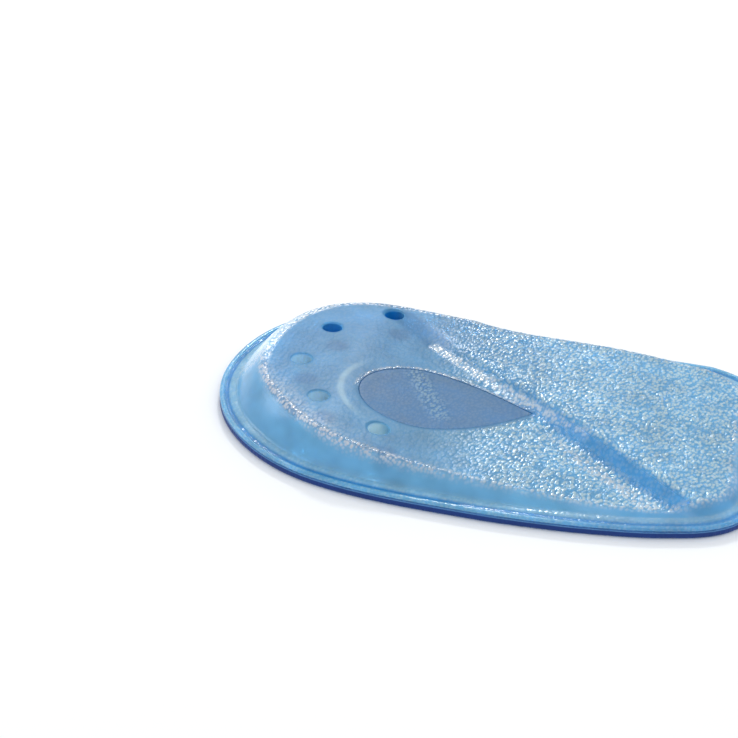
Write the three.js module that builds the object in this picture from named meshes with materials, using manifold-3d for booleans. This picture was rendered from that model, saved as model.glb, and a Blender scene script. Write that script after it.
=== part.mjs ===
// Silicone heel cup for the left shoe, lying with its base up.
// Millimetres, +Z up. The toe end points to +X, the arch side to +Y, and the floor is Z = 0.
// The foot side is the underside here: its textile cover rests on the floor along its edge.

import * as THREE from 'three';
import { mergeVertices } from 'three/addons/utils/BufferGeometryUtils.js';
import Module from 'manifold-3d';

// Driving dimensions of the whole cup
const LENGTH = 108;
const WIDTH = 71;
const FRONT_WIDTH = 55;
const FRONT_CORNER = 12;
const HEEL_SHIFT = 1.5;
const HEEL_HEIGHT = 8.8;

// Cover and the line of glue under it
const COVER_THICKNESS = 1.3;
const GLUE_GAP = 0.3;

// Rim flange: a narrow bead, a groove behind it, then a flat ledge at the foot of the side wall
const FLANGE_THICKNESS = 0.7;
const BEAD_WIDTH = 1;
const BEAD_ROUND = 0.3;
const GROOVE_WIDTH = 1;
const GROOVE_DEPTH = 0.3;
const LEDGE_WIDTH = 1.3;
const LEDGE_SLOPE = 0.3;

// Side wall: how far it leans in between its foot and the base, and how much it bulges, where 1
// is straight
const WALL_LEAN_SIDE = 2.4;
const WALL_LEAN_HEEL = 5.2;
const WALL_BULGE = 1.35;

// Hollow for the heel, on the foot side
const HOLLOW_DEPTH = 2;
const HOLLOW_LENGTH = 66;
const HOLLOW_WIDTH = 60;

// Sloping step that crosses the base, between the arch pad and the outer side
const STEP_WIDTH = 6;

// Teardrop recess and the soft insert that fills it
const RECESS_LENGTH = 34;
const RECESS_WIDTH = 21;
const RECESS_WEB = 0.8;
const INSERT_CLEARANCE = 0.3;
const INSERT_SUNK = 0.3;

// How far the recess and the holes open above the base
const CUT_ABOVE = 1;

// Blind round holes on an arc round the heel
const HOLE_COUNT = 5;
const HOLE_DIAMETER = 4;
const HOLE_ARC_RADIUS = 23;
const HOLE_WEB = 0.8;
const FIRST_HOLE_ANGLE = 114;
const HOLE_SPACING = 37.6;

// Places on the base, as shares: along the length from the heel end, across half the width
const HOLLOW_CENTRE = { along: 0.34, across: 0 };
const HOLE_ARC_CENTRE = { along: 0.363, across: 0.04 };
const RECESS_ROUND_END = { along: 0.277, across: -0.255 };
const RECESS_TIP = { along: 0.582, across: -0.087 };
const STEP_BACK = { along: 0.416, across: 0.376 };
const STEP_FRONT = { along: 0.862, across: -0.642 };

// Outline: the heel's curve up to the widest place of each side, and past it how much of the
// narrowing to the front edge each side has made
const HEEL_ROUNDNESS = 3.3;
const WIDEST_PLACE = { outer: 0.55, arch: 0.42 };
const SIDE_NARROWING = {
  outer: [
    { along: 0.55, share: 0 },
    { along: 0.617, share: 0.04 },
    { along: 0.683, share: 0.11 },
    { along: 0.749, share: 0.23 },
    { along: 0.815, share: 0.39 },
    { along: 0.88, share: 0.64 },
    { along: 1, share: 1.16 },
  ],
  arch: [
    { along: 0.42, share: 0 },
    { along: 0.485, share: 0.18 },
    { along: 0.558, share: 0.33 },
    { along: 0.703, share: 0.4 },
    { along: 0.874, share: 0.42 },
    { along: 0.904, share: 0.45 },
    { along: 1, share: 0.84 },
  ],
};

// Where the heel's shift to the arch side has faded out, along the length
const SHIFT_FADE = 0.25;

// Height of the base above the floor, as shares of the heel height, on the outer side and on
// the arch pad
const BASE_HEIGHTS = [
  { along: 0.00, outer: 1.00, arch: 1.00 },
  { along: 0.23, outer: 1.00, arch: 1.00 },
  { along: 0.32, outer: 0.88, arch: 0.92 },
  { along: 0.42, outer: 0.72, arch: 0.84 },
  { along: 0.51, outer: 0.61, arch: 0.80 },
  { along: 0.60, outer: 0.53, arch: 0.76 },
  { along: 0.69, outer: 0.42, arch: 0.71 },
  { along: 0.77, outer: 0.33, arch: 0.64 },
  { along: 0.84, outer: 0.28, arch: 0.55 },
  { along: 1.00, outer: 0.275, arch: 0.37 },
];

// Where the wide lean of the heel's wall gives way to the steep sides, along the length
const LEAN_FADE = { outer: [0.06, 0.3], arch: [0.4, 0.75] };

// Fineness of the faceted outline and surfaces
const HEEL_STATIONS = 44;
const SIDE_STATIONS = 16;
const CORNER_STATIONS = 6;
const FRONT_STATIONS = 6;
const WALL_STEPS = [0.25, 0.5, 0.78, 1];
const BASE_STEPS = [0.11, 0.22, 0.34, 0.46, 0.58, 0.7, 0.81, 0.91, 1];
const FOOT_STEPS = [0.04, 0.2, 0.4, 0.6, 0.8, 1];
const HOLE_SIDES = 24;

const wasm = await Module();
wasm.setup();

// Levels of the layers at the rim
const GEL_FLOOR = COVER_THICKNESS + GLUE_GAP;
const FLANGE_TOP = GEL_FLOOR + FLANGE_THICKNESS;
const GROOVE_FLOOR = FLANGE_TOP - GROOVE_DEPTH;
const LEDGE_START = BEAD_WIDTH + GROOVE_WIDTH;
const WALL_FOOT = LEDGE_START + LEDGE_WIDTH;

function place({ along, across }) {
  return new THREE.Vector2((along - 0.5) * LENGTH, across * WIDTH / 2);
}

// Smooth curve through a table's column, level at its start and between equal values
function readTable(table, column, along) {
  const last = table.length - 1;
  const at = THREE.MathUtils.clamp(along, table[0].along, table[last].along);
  const i = Math.min(table.findLastIndex((row) => row.along <= at), last - 1);
  const slopeOf = (k) => (table[k + 1][column] - table[k][column]) / (table[k + 1].along - table[k].along);
  const tangentAt = (k) => {
    if (k === 0) return 0;
    if (k === last) return slopeOf(last - 1);
    const before = slopeOf(k - 1);
    const after = slopeOf(k);
    return before * after <= 0 ? 0 : 2 * before * after / (before + after);
  };
  const span = table[i + 1].along - table[i].along;
  const t = (at - table[i].along) / span;
  const from = table[i][column];
  const to = table[i + 1][column];
  return (2 * t ** 3 - 3 * t ** 2 + 1) * from + (t ** 3 - 2 * t ** 2 + t) * span * tangentAt(i)
    + (3 * t ** 2 - 2 * t ** 3) * to + (t ** 3 - t ** 2) * span * tangentAt(i + 1);
}

function halfWidth(x, side) {
  const along = x / LENGTH + 0.5;
  const widest = WIDEST_PLACE[side];
  if (along < widest) {
    return WIDTH / 2 * Math.sqrt(1 - (1 - along / widest) ** HEEL_ROUNDNESS);
  }
  const narrowing = readTable(SIDE_NARROWING[side], 'share', along);
  return WIDTH / 2 - narrowing * (WIDTH - FRONT_WIDTH) / 2;
}

// Point of the outline on one side, where sign is -1 on the outer side and 1 on the arch side
function sidePoint(x, side, sign) {
  const along = x / LENGTH + 0.5;
  const shift = HEEL_SHIFT * (1 - THREE.MathUtils.smoothstep(along, 0, SHIFT_FADE));
  return new THREE.Vector2(x, sign * halfWidth(x, side) + shift);
}

// One side of the outline from the heel's tip to the middle of the front edge
function outlineSide(side, sign) {
  const points = [];
  const heelEnd = -LENGTH / 2;
  const widest = heelEnd + WIDEST_PLACE[side] * LENGTH;
  const cornerStart = LENGTH / 2 - FRONT_CORNER;
  for (let i = 0; i < HEEL_STATIONS / 2; i++) {
    const turn = i / (HEEL_STATIONS / 2) * Math.PI / 2;
    points.push(sidePoint(widest - (widest - heelEnd) * Math.cos(turn), side, sign));
  }
  for (let i = 0; i < SIDE_STATIONS; i++) {
    points.push(sidePoint(THREE.MathUtils.lerp(widest, cornerStart, i / SIDE_STATIONS), side, sign));
  }
  const knee = sidePoint(LENGTH / 2, side, sign);
  const frontStart = new THREE.Vector2(LENGTH / 2, knee.y - sign * FRONT_CORNER);
  const corner = new THREE.QuadraticBezierCurve(sidePoint(cornerStart, side, sign), knee, frontStart);
  points.push(...corner.getPoints(CORNER_STATIONS));
  for (let i = 1; i < FRONT_STATIONS / 2; i++) {
    const y = THREE.MathUtils.lerp(frontStart.y, 0, i / (FRONT_STATIONS / 2));
    points.push(new THREE.Vector2(LENGTH / 2, y));
  }
  return points;
}

// The closed outline of the cup, anticlockwise from the heel's tip
function cupOutline() {
  const outer = outlineSide('outer', -1);
  const arch = outlineSide('arch', 1).slice(1).reverse();
  return [...outer, new THREE.Vector2(LENGTH / 2, 0), ...arch];
}

// Share of the arch pad's height at a point: 0 on the outer side of the step, 1 past it
function stepShare(x, y) {
  const back = place(STEP_BACK);
  const front = place(STEP_FRONT);
  const run = front.clone().sub(back).normalize();
  const past = run.x * (y - back.y) - run.y * (x - back.x);
  return THREE.MathUtils.smoothstep(past, -STEP_WIDTH / 2, STEP_WIDTH / 2);
}

function baseHeight(x, y) {
  const along = x / LENGTH + 0.5;
  const outer = HEEL_HEIGHT * readTable(BASE_HEIGHTS, 'outer', along);
  const arch = HEEL_HEIGHT * readTable(BASE_HEIGHTS, 'arch', along);
  return THREE.MathUtils.lerp(outer, arch, stepShare(x, y));
}

// How far the foot side is hollowed at a point
function hollowDepth(x, y) {
  const centre = place(HOLLOW_CENTRE);
  const reach = ((x - centre.x) / (HOLLOW_LENGTH / 2)) ** 2 + ((y - centre.y) / (HOLLOW_WIDTH / 2)) ** 2;
  return reach < 1 ? HOLLOW_DEPTH * (1 - reach) ** 2 : 0;
}

function wallLean(point) {
  const along = point.x / LENGTH + 0.5;
  const [start, end] = LEAN_FADE[point.y < 0 ? 'outer' : 'arch'];
  const steepness = THREE.MathUtils.smoothstep(along, start, end);
  return THREE.MathUtils.lerp(WALL_LEAN_HEEL, WALL_LEAN_SIDE, steepness);
}

// Nested loops from an outline in towards a straight spine. Each inset gives, for a point of
// the outline, the distance in from it, and each step is a share of the way from the last
// inset to a small loop that is kept round the spine.
function nestedLoops(outline, spine, insets, steps) {
  const INNER_SHARE = 0.95;
  const count = outline.length;
  const rays = outline.map((point, i) => {
    const before = outline[(i + count - 1) % count];
    const after = outline[(i + 1) % count];
    const normal = new THREE.Vector2(before.y - after.y, after.x - before.x).normalize();
    const target = new THREE.Vector2(THREE.MathUtils.clamp(point.x, spine.from, spine.to), spine.across);
    const way = target.sub(point);
    const reach = way.length();
    const direction = way.normalize();
    return { point, direction, reach, square: direction.dot(normal) };
  });
  const loops = insets.map((inset) => rays.map(({ point, direction, square }) => (
    point.clone().addScaledVector(direction, inset(point) / square)
  )));
  const lastInset = insets[insets.length - 1];
  for (const step of steps) {
    loops.push(rays.map(({ point, direction, reach, square }) => {
      const start = lastInset(point) / square;
      return point.clone().addScaledVector(direction, THREE.MathUtils.lerp(start, INNER_SHARE * reach, step));
    }));
  }
  return loops;
}

// Closed body between an upper and a lower sheet over the same outline. Each sheet is a list
// of loops, outermost first, and a height for each of them. The innermost loop is closed with
// rungs between its two sides, which have as many points each.
function bodyBetween(upper, lower) {
  const positions = [];
  const index = [];
  const addLoops = (sheet) => sheet.loops.map((loop, k) => loop.map(({ x, y }) => {
    positions.push(x, y, sheet.height(x, y, k));
    return positions.length / 3 - 1;
  }));
  const joinLoops = (outside, inside, flip) => {
    outside.forEach((a, i) => {
      const b = outside[(i + 1) % outside.length];
      const c = inside[(i + 1) % inside.length];
      const d = inside[i];
      index.push(...(flip ? [a, c, b, a, d, c] : [a, b, c, a, c, d]));
    });
  };
  const closeLoop = (loop, flip) => {
    const count = loop.length;
    for (let i = 0; i < count / 2; i++) {
      const [a, b] = [loop[i], loop[i + 1]];
      const [c, d] = [loop[count - i - 1], loop[(count - i) % count]];
      if (b !== c) index.push(...(flip ? [a, c, b] : [a, b, c]));
      if (d !== a) index.push(...(flip ? [a, d, c] : [a, c, d]));
    }
  };
  const top = addLoops(upper);
  const bottom = addLoops(lower);
  for (let k = 1; k < top.length; k++) joinLoops(top[k - 1], top[k], false);
  for (let k = 1; k < bottom.length; k++) joinLoops(bottom[k - 1], bottom[k], true);
  closeLoop(top.at(-1), false);
  closeLoop(bottom.at(-1), true);
  joinLoops(bottom[0], top[0], false);
  const geometry = new THREE.BufferGeometry();
  geometry.setAttribute('position', new THREE.Float32BufferAttribute(positions, 3));
  geometry.setIndex(index);
  return geometry;
}

function toSolid(source) {
  const bare = source.clone();
  bare.deleteAttribute('normal');
  bare.deleteAttribute('uv');
  const merged = mergeVertices(bare, 1e-4);
  return new wasm.Manifold(new wasm.Mesh({
    numProp: 3,
    vertProperties: merged.attributes.position.array,
    triVerts: Uint32Array.from(merged.index.array),
  }));
}

function toGeometry(solid) {
  const mesh = solid.getMesh();
  const geometry = new THREE.BufferGeometry();
  geometry.setAttribute('position', new THREE.BufferAttribute(mesh.vertProperties, 3));
  geometry.setIndex(new THREE.BufferAttribute(mesh.triVerts, 1));
  return geometry;
}

const outline = cupOutline();
const CUP_SPINE = { from: -0.16 * LENGTH, to: 0.34 * LENGTH, across: 0 };
const footLoops = nestedLoops(outline, CUP_SPINE, [() => 0, () => WALL_FOOT], FOOT_STEPS);

// Gel body: bead, groove, ledge, side wall and base above, and the hollowed foot side below
function gelBlank() {
  const rim = [
    { inset: 0, height: FLANGE_TOP - BEAD_ROUND },
    { inset: BEAD_ROUND, height: FLANGE_TOP },
    { inset: BEAD_WIDTH - BEAD_ROUND, height: FLANGE_TOP },
    { inset: BEAD_WIDTH, height: GROOVE_FLOOR },
    { inset: LEDGE_START, height: GROOVE_FLOOR },
    { inset: LEDGE_START + LEDGE_SLOPE, height: FLANGE_TOP },
    { inset: WALL_FOOT, height: FLANGE_TOP },
  ];
  const insets = [
    ...rim.map(({ inset }) => () => inset),
    ...WALL_STEPS.map((step) => (point) => WALL_FOOT + step * wallLean(point)),
  ];
  const height = (x, y, k) => {
    if (k < rim.length) return rim[k].height;
    const step = WALL_STEPS[k - rim.length] ?? 1;
    return THREE.MathUtils.lerp(FLANGE_TOP, baseHeight(x, y), 1 - (1 - step) ** WALL_BULGE);
  };
  const upper = { loops: nestedLoops(outline, CUP_SPINE, insets, BASE_STEPS), height };
  const lower = { loops: footLoops, height: (x, y) => GEL_FLOOR + hollowDepth(x, y) };
  return bodyBetween(upper, lower);
}

// Teardrop of a given clearance inside the recess, along +X from its round end
function teardrop(clearance) {
  const ROUND_SHARE = 0.36;
  const TAPER = 1.7;
  const STATIONS = 18;
  const length = RECESS_LENGTH - 2 * clearance;
  const half = RECESS_WIDTH / 2 - clearance;
  const side = [];
  for (let i = 0; i <= STATIONS; i++) {
    const along = (1 - Math.cos(i / STATIONS * Math.PI)) / 2;
    const round = Math.sqrt(Math.max(0, 1 - (1 - along / ROUND_SHARE) ** 2));
    const taper = 1 - ((along - ROUND_SHARE) / (1 - ROUND_SHARE)) ** TAPER;
    const width = half * (along < ROUND_SHARE ? round : taper);
    side.push(new THREE.Vector2(clearance + along * length, width));
  }
  const back = side.slice(1, -1).reverse();
  const start = place(RECESS_ROUND_END);
  const turn = place(RECESS_TIP).sub(start).angle();
  const origin = new THREE.Vector2();
  return [...side.map(({ x, y }) => new THREE.Vector2(x, -y)), ...back]
    .map((point) => point.rotateAround(origin, turn).add(start));
}

// Closed body over a teardrop, between two height functions
function teardropBody(clearance, above, below) {
  const MIDDLE_SHARE = 0.42;
  const RING_SHARES = [0, 0.3, 0.6, 0.9];
  const loop = teardrop(clearance);
  const middle = place(RECESS_ROUND_END).lerp(place(RECESS_TIP), MIDDLE_SHARE);
  const loops = RING_SHARES.map((share) => loop.map((point) => point.clone().lerp(middle, share)));
  return bodyBetween({ loops, height: above }, { loops, height: below });
}

function holeCutter(angle) {
  const centre = place(HOLE_ARC_CENTRE);
  const turn = THREE.MathUtils.degToRad(angle);
  const x = centre.x + HOLE_ARC_RADIUS * Math.cos(turn);
  const y = centre.y + HOLE_ARC_RADIUS * Math.sin(turn);
  const floor = GEL_FLOOR + hollowDepth(x, y) + HOLE_WEB;
  const height = HEEL_HEIGHT + CUT_ABOVE - floor;
  const cutter = new THREE.CylinderGeometry(HOLE_DIAMETER / 2, HOLE_DIAMETER / 2, height, HOLE_SIDES);
  cutter.rotateX(Math.PI / 2);
  cutter.translate(x, y, floor + height / 2);
  return cutter;
}

const recessFloor = (x, y) => GEL_FLOOR + hollowDepth(x, y) + RECESS_WEB;

function gelBody() {
  const recess = teardropBody(0, () => HEEL_HEIGHT + CUT_ABOVE, recessFloor);
  let solid = toSolid(gelBlank()).subtract(toSolid(recess));
  for (let i = 0; i < HOLE_COUNT; i++) {
    solid = solid.subtract(toSolid(holeCutter(FIRST_HOLE_ANGLE + i * HOLE_SPACING)));
  }
  return toGeometry(solid);
}

function softInsert() {
  const above = (x, y) => baseHeight(x, y) - INSERT_SUNK;
  const below = (x, y) => recessFloor(x, y) + INSERT_CLEARANCE;
  return teardropBody(INSERT_CLEARANCE, above, below);
}

function topCover() {
  const upper = { loops: footLoops, height: (x, y) => COVER_THICKNESS + hollowDepth(x, y) };
  const lower = { loops: footLoops, height: hollowDepth };
  return bodyBetween(upper, lower);
}

function piece(name, geometry, { color, roughness }) {
  const material = new THREE.MeshStandardMaterial({ color, roughness, metalness: 0 });
  const mesh = new THREE.Mesh(geometry, material);
  mesh.name = name;
  return mesh;
}

const heelCup = new THREE.Group();
heelCup.add(
  piece('gel_body', gelBody(), { color: 0x8fc1e6, roughness: 0.25 }),
  piece('soft_insert', softInsert(), { color: 0x6f9fc8, roughness: 0.3 }),
  piece('top_cover', topCover(), { color: 0x2f6fc0, roughness: 0.9 }),
);

export default heelCup;
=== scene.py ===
"""Heel cup: a gel body, its soft insert and the textile cover, lying base up on a pale floor."""

import math

import bmesh
import bpy
from bpy.props import FloatProperty, FloatVectorProperty, IntProperty, PointerProperty
from mathutils import Color, Euler, Matrix, Vector, kdtree, noise


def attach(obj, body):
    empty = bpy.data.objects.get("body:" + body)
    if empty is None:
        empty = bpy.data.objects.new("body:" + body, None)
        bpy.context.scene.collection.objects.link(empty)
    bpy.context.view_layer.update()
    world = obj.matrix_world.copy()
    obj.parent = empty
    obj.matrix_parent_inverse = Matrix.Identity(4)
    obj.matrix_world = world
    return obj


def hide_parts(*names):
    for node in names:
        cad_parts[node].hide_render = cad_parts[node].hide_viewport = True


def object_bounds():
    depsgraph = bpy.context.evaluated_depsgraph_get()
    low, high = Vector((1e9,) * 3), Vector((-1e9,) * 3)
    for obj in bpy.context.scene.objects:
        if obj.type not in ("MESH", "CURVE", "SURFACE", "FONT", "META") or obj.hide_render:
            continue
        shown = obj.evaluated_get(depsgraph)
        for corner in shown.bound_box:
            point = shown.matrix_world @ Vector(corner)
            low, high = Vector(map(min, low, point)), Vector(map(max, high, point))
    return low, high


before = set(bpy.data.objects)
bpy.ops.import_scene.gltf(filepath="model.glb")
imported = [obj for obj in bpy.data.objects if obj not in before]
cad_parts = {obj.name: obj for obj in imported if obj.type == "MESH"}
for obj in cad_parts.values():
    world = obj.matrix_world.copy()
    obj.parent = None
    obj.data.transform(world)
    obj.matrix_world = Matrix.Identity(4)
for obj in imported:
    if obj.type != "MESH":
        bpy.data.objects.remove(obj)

bl_info = {
    "name": "Heel Cup",
    "version": (1, 0, 0),
    "blender": (4, 5, 0),
    "location": "3D View > Sidebar > Heel Cup",
    "description": "Builds a gel heel cup with its soft insert, textile cover and a plain studio",
    "category": "Add Mesh",
}

MM = 0.001
CAD_LOW, CAD_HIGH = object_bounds()
BODY = "root"

# Places on the base, as shares: along the length from the heel end, across half the width
HOLLOW_CENTRE = (0.34, 0.0)
HOLE_ARC_CENTRE = (0.363, 0.04)
RECESS_ROUND_END = (0.277, -0.255)
RECESS_TIP = (0.582, -0.087)
STEP_BACK = (0.416, 0.376)
STEP_FRONT = (0.862, -0.642)

# Ends of lines on the base, as the same shares: the insert's painted glints, the painted highlight
# streak on the step, and the duller patch of painted shade between the shaded holes and the step
SPARKLE_BACK = (0.362, 0.05)
SPARKLE_FRONT = (0.43, -0.31)
STREAK_BACK = (0.375, 0.383)
STREAK_FRONT = (0.69, -0.234)
SHADED_PATCH_BACK = (0.30, 0.62)
SHADED_PATCH_FRONT = (0.38, 0.42)

# The line that the loops of the foot side close round, as shares of the length from the middle, and
# how much of the way to it they go
SPINE = (-0.16, 0.34)
SPINE_REACH = 0.95

# Outline: the heel's curve up to each side's widest place, and past it the share of the narrowing
HEEL_ROUNDNESS = 3.3
SHIFT_FADE = 0.25
WIDEST_PLACE = {"outer": 0.55, "arch": 0.42}
SIDE_NARROWING = {
    "outer": (
        (0.55, 0.0), (0.617, 0.04), (0.683, 0.11), (0.749, 0.23),
        (0.815, 0.39), (0.88, 0.64), (1.0, 1.16),
    ),
    "arch": (
        (0.42, 0.0), (0.485, 0.18), (0.558, 0.33), (0.703, 0.4),
        (0.874, 0.42), (0.904, 0.45), (1.0, 0.84),
    ),
}

# Height of the base as shares of the heel height: along, outer side, arch pad
BASE_HEIGHTS = (
    (0.00, 1.00, 1.00),
    (0.23, 1.00, 1.00),
    (0.32, 0.88, 0.92),
    (0.42, 0.72, 0.84),
    (0.51, 0.61, 0.80),
    (0.60, 0.53, 0.76),
    (0.69, 0.42, 0.71),
    (0.77, 0.33, 0.64),
    (0.84, 0.28, 0.55),
    (1.00, 0.275, 0.37),
)
LEAN_FADE = {"outer": (0.06, 0.30), "arch": (0.40, 0.75)}
WALL_BULGE = 1.35

# Cells of the pebbled base, along and across, and how far its heel corners are from the heel's tip
BASE_CELLS = (280, 176)
CORNER_RUN = 27 * MM
# Height of the pebbles at which they leave the base as it is
PEBBLE_LEVEL = 0.6

# The first holes, on the arch side, get painted deep blue shade inside; the others get painted pale light
SHADED_HOLES = 2
# Where a painted soft shade stands for the foot of each hole seen through the gel, in millimetres from its
# mouth
HOLE_SHADE = (2.9, -7.5)

# Lamps: name, place and disk size in metres, and power in watts
LAMPS = (
    ("back_key", (-0.122, 0.562, 0.482), 0.08, 1.3),
    ("left_soft", (-0.70, 0.10, 0.32), 0.35, 0.6),
    ("top_soft", (0.15, 0.10, 0.95), 0.60, 0.9),
)
# Camera: place in metres, turns about X, Y and Z in degrees, and lens in millimetres
CAMERA_PLACE = (0.04156, -0.30243, 0.18169)
CAMERA_TURNS = (60.586, -2.44, 13.646)
CAMERA_LENS = 87.19


def length_size(name, description, millimetres, lowest=0.01):
    return FloatProperty(
        name=name,
        description=description,
        default=millimetres * MM,
        min=lowest * MM,
        precision=5,
        unit="LENGTH",
    )


def colour(name, description, value):
    return FloatVectorProperty(
        name=name, description=description, default=value, size=3, min=0.0, max=1.0, subtype="COLOR"
    )


class HeelCupSizes(bpy.types.PropertyGroup):
    """Sizes of the cup."""

    length: FloatProperty(
        name="Length",
        description="From the heel end to the front edge",
        default=CAD_HIGH.x - CAD_LOW.x,
        unit="LENGTH",
    )
    width: FloatProperty(
        name="Width",
        description="Across the widest place of the heel",
        default=CAD_HIGH.y - CAD_LOW.y,
        unit="LENGTH",
    )
    heel_height: FloatProperty(
        name="Heel Height",
        description="From the floor to the base under the heel",
        default=CAD_HIGH.z,
        unit="LENGTH",
    )
    front_width: length_size("Front Width", "Width at the front edge", 55)
    front_corner: length_size("Front Corner", "Rounding of the front corners", 12)
    heel_shift: length_size("Heel Shift", "Shift of the heel's tip to the arch side", 1.5)
    cover: length_size("Cover Thickness", "Thickness of the textile cover", 1.3)
    glue_gap: length_size("Glue Gap", "Gap between the cover and the gel", 0.3)
    flange: length_size("Flange Thickness", "Thickness of the rim flange", 0.7)
    bead: length_size("Bead Width", "Width of the rounded bead at the rim", 1)
    groove: length_size("Groove Width", "Width of the groove behind the bead", 1)
    groove_depth: length_size("Groove Depth", "Depth of the groove below the bead", 0.3)
    ledge: length_size("Ledge Width", "Width of the ledge at the foot of the wall", 1.3)
    lean_side: length_size("Side Lean", "How far the side wall leans in", 2.4)
    lean_heel: length_size("Heel Lean", "How far the wall leans in at the heel", 5.2)
    hollow_depth: length_size("Hollow Depth", "Depth of the hollow for the heel", 2)
    hollow_length: length_size("Hollow Length", "Length of the hollow for the heel", 66)
    hollow_width: length_size("Hollow Width", "Width of the hollow for the heel", 60)
    step_width: length_size("Step Width", "Width of the sloping step on the base", 6)
    recess_length: length_size("Recess Length", "Length of the teardrop recess", 34)
    recess_width: length_size("Recess Width", "Width of the teardrop recess", 21)
    web: length_size("Web", "Gel left under the recess and the holes", 0.8)
    insert_gap: length_size("Insert Gap", "Gap round the soft insert", 0.02)
    insert_sunk: length_size("Insert Sunk", "How far the insert lies below the base", 0.06)
    hole_diameter: length_size("Hole Diameter", "Diameter of the blind holes", 4)
    hole_arc: length_size("Hole Arc", "Radius of the arc that carries the holes", 23)
    hole_count: IntProperty(name="Hole Count", description="Number of blind holes", default=5, min=0, max=8)
    hole_start: FloatProperty(
        name="First Hole",
        description="Turn of the first hole",
        default=math.radians(114),
        unit="ROTATION",
    )
    hole_step: FloatProperty(
        name="Hole Spacing",
        description="Turn between two holes",
        default=math.radians(37.6),
        unit="ROTATION",
    )
    pebble: length_size("Pebble Size", "Size of a pebble of the base", 1.0)
    pebble_depth: length_size("Pebble Depth", "Height of the pebbles over their gaps", 0.2)


class HeelCupFinish(bpy.types.PropertyGroup):
    """Colours of the cup, some of them painted light and shade."""

    # Pebble tops: pale, partly painted glints
    gel_top: colour("Pebble Colour", "Pale tops of the pebbles", (0.74, 0.98, 1.0))
    gel_gap: colour("Gap Colour", "Blue between the pebbles", (0.16, 0.55, 0.90))
    gel_wall: colour("Wall Colour", "Smooth side wall and rim", (0.22, 0.64, 0.96))
    # Painted shade: deep blue inside the shaded holes, in the groove, on the step band and on the front
    # wall
    deep: colour("Deep Colour", "Inside of the holes, the groove and the step", (0.01, 0.32, 0.80))
    # Painted light: pale holes, the pale foot of the wall, the crescent by the insert and the insert's
    # glinting dots
    pale: colour("Pale Colour", "Pale holes and the crescent by the insert", (0.60, 0.88, 0.95))
    # Painted highlight: the ridge, the step streak, below the step, the far heel and the recess lip
    frost: colour("Frost Colour", "Frosted ridge round the base", (0.95, 0.99, 1.0))
    # Painted glow: emitted by the gel although it is no lamp, in the pale holes, on the step streak and at
    # the far heel
    glow: colour("Glow Colour", "Light that the gel passes on into the pale holes", (0.52, 0.72, 0.78))
    # Painted shade: darker heel where the gel is thickest, round the recess, under each hole and over the
    # duller patch
    thick: colour("Thick Gel Tint", "Tint of the thickest gel", (0.43, 0.50, 0.60))
    insert: colour("Insert Colour", "Soft insert", (0.11, 0.36, 0.68))
    textile: colour("Textile Colour", "Cover of the foot side, between its threads", (0.10, 0.27, 0.56))
    thread: colour("Thread Colour", "Raised threads of the cover", (0.22, 0.45, 0.76))
    # Cut edge: partly its own darker colour, partly painted shade
    cut_edge: colour("Edge Colour", "Cut edge of the cover", (0.003, 0.035, 0.20))
    floor: colour("Floor Colour", "Pale studio floor", (0.97, 0.97, 0.97))


def mix(a, b, share):
    return a + (b - a) * share


def smoothstep(value, low, high):
    t = min(1.0, max(0.0, (value - low) / (high - low)))
    return t * t * (3 - 2 * t)


def read_table(table, column, along):
    """Smooth curve through a table's column, level at its start and between equal values."""
    last = len(table) - 1
    at = min(max(along, table[0][0]), table[last][0])
    i = max(k for k in range(last) if table[k][0] <= at)

    def slope(k):
        return (table[k + 1][column] - table[k][column]) / (table[k + 1][0] - table[k][0])

    def tangent(k):
        if k == 0:
            return 0.0
        if k == last:
            return slope(last - 1)
        before, after = slope(k - 1), slope(k)
        return 0.0 if before * after <= 0 else 2 * before * after / (before + after)

    span = table[i + 1][0] - table[i][0]
    t = (at - table[i][0]) / span
    return (
        (2 * t**3 - 3 * t**2 + 1) * table[i][column]
        + (t**3 - 2 * t**2 + t) * span * tangent(i)
        + (3 * t**2 - 2 * t**3) * table[i + 1][column]
        + (t**3 - t**2) * span * tangent(i + 1)
    )


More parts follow.
